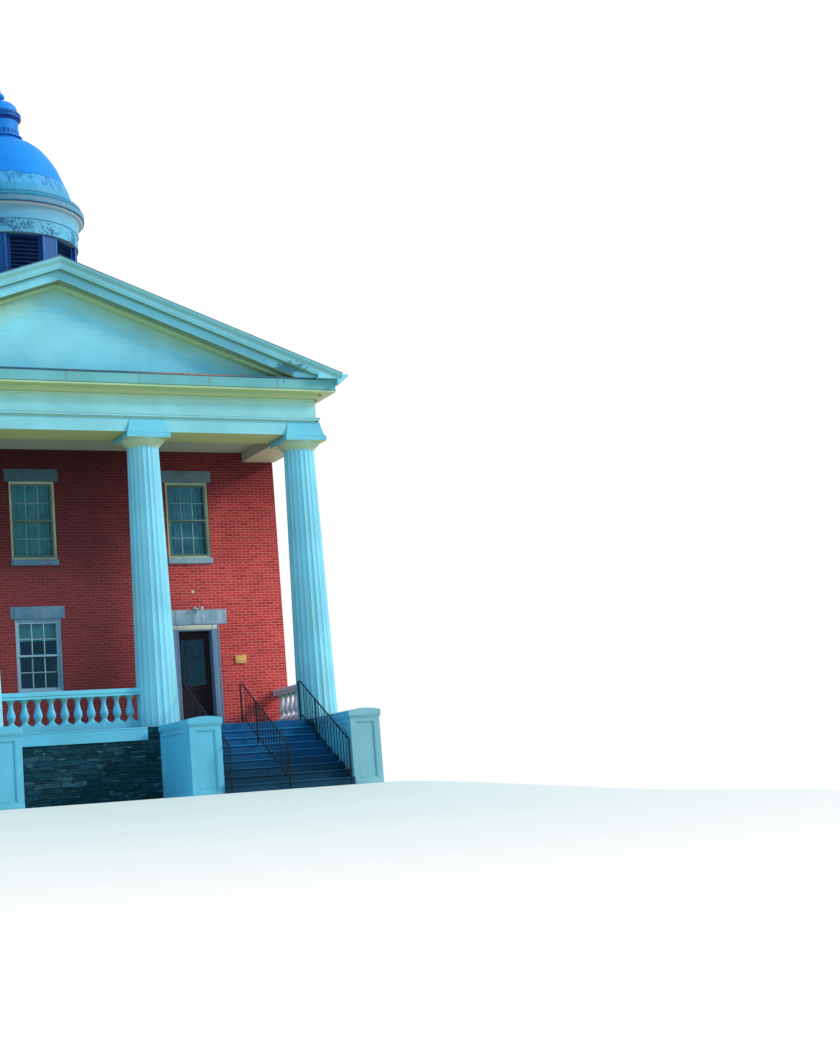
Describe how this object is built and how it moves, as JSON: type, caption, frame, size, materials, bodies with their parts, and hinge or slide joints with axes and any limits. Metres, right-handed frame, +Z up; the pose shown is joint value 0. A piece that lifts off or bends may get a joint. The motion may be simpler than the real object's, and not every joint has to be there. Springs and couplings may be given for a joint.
{
  "type": "courthouse",
  "caption": "Two-storey brick temple-front courthouse with four fluted columns, pediment, twin stairs and a louvred blue-domed cupola.",
  "frame": {"origin": "centre of the footprint's bounding box at ground level", "axes": "+X to the right along the front, +Y from the columned front into the building, +Z up"},
  "size_m": [13.554, 16.621, 17.68],
  "materials": {
    "rubble_stone": "rough quarried stone in mortar",
    "white_paint": "weathered white oil paint on timber",
    "white_boards": "weathered white paint on matched boards",
    "floor_paint": "worn grey deck paint",
    "stair_paint": "worn slate-blue deck paint",
    "floor_boards": "bare softwood boards",
    "brick": "fired red brick in lime mortar",
    "cream_paint": "cream oil paint",
    "window_glass": "old window glass",
    "cut_stone": "dressed grey stone",
    "door_brown": "dark brown paint",
    "ceiling_boards": "pale paint on beaded boards",
    "roof_metal": "painted tin roofing",
    "louvre_blue": "dark blue paint",
    "dome_blue": "bright blue paint on sheet metal",
    "black_iron": "black painted iron"
  },
  "bodies": {
    "building": {"back_wall": "brick", "back_windows": "cream_paint", "balustrades": "white_paint", "capitals": "white_paint", "column_1": "white_paint", "column_2": "white_paint", "column_3": "white_paint", "column_4": "white_paint", "cupola_base": "white_boards", "dome": "dome_blue", "door_frames": "white_paint", "door_left": "door_brown", "drum_entablature": "white_boards", "drum_piers": "white_boards", "eaves": "white_paint", "entablature_back": "white_paint", "entablature_front": "white_paint", "entablature_sides": "white_paint", "foundation_walls": "rubble_stone", "front_wall_ends": "brick", "front_wall_middle": "brick", "front_wall_over_doors": "brick", "front_windows": "cream_paint", "gables": "white_boards", "ground_floor": "floor_boards", "lantern": "white_boards", "lantern_dome": "dome_blue", "louvres": "louvre_blue", "pedestals": "white_paint", "porch_fascia_board": "white_paint", "porch_floor": "floor_paint", "porch_foundation": "rubble_stone", "portico_ceiling": "ceiling_boards", "raking_cornice": "white_paint", "roof_left": "roof_metal", "roof_right": "roof_metal", "side_walls": "brick", "side_windows": "cream_paint", "stair_railings": "black_iron", "stair_treads": "stair_paint", "stairs": "stair_paint", "stone_lintels": "cut_stone", "stone_sills": "cut_stone", "upper_floor": "floor_boards", "window_glass": "window_glass"},
    "right_door": {"door_right": "door_brown", "door_right_glass": "window_glass"}
  },
  "joints": [
    {"name": "right_door_hinge", "type": "hinge", "parent": "building", "child": "right_door", "pos_m": [4.204, -3.0235, 2.8], "axis": [0, 0, 1], "range_deg": [-90, 0]}
  ]
}
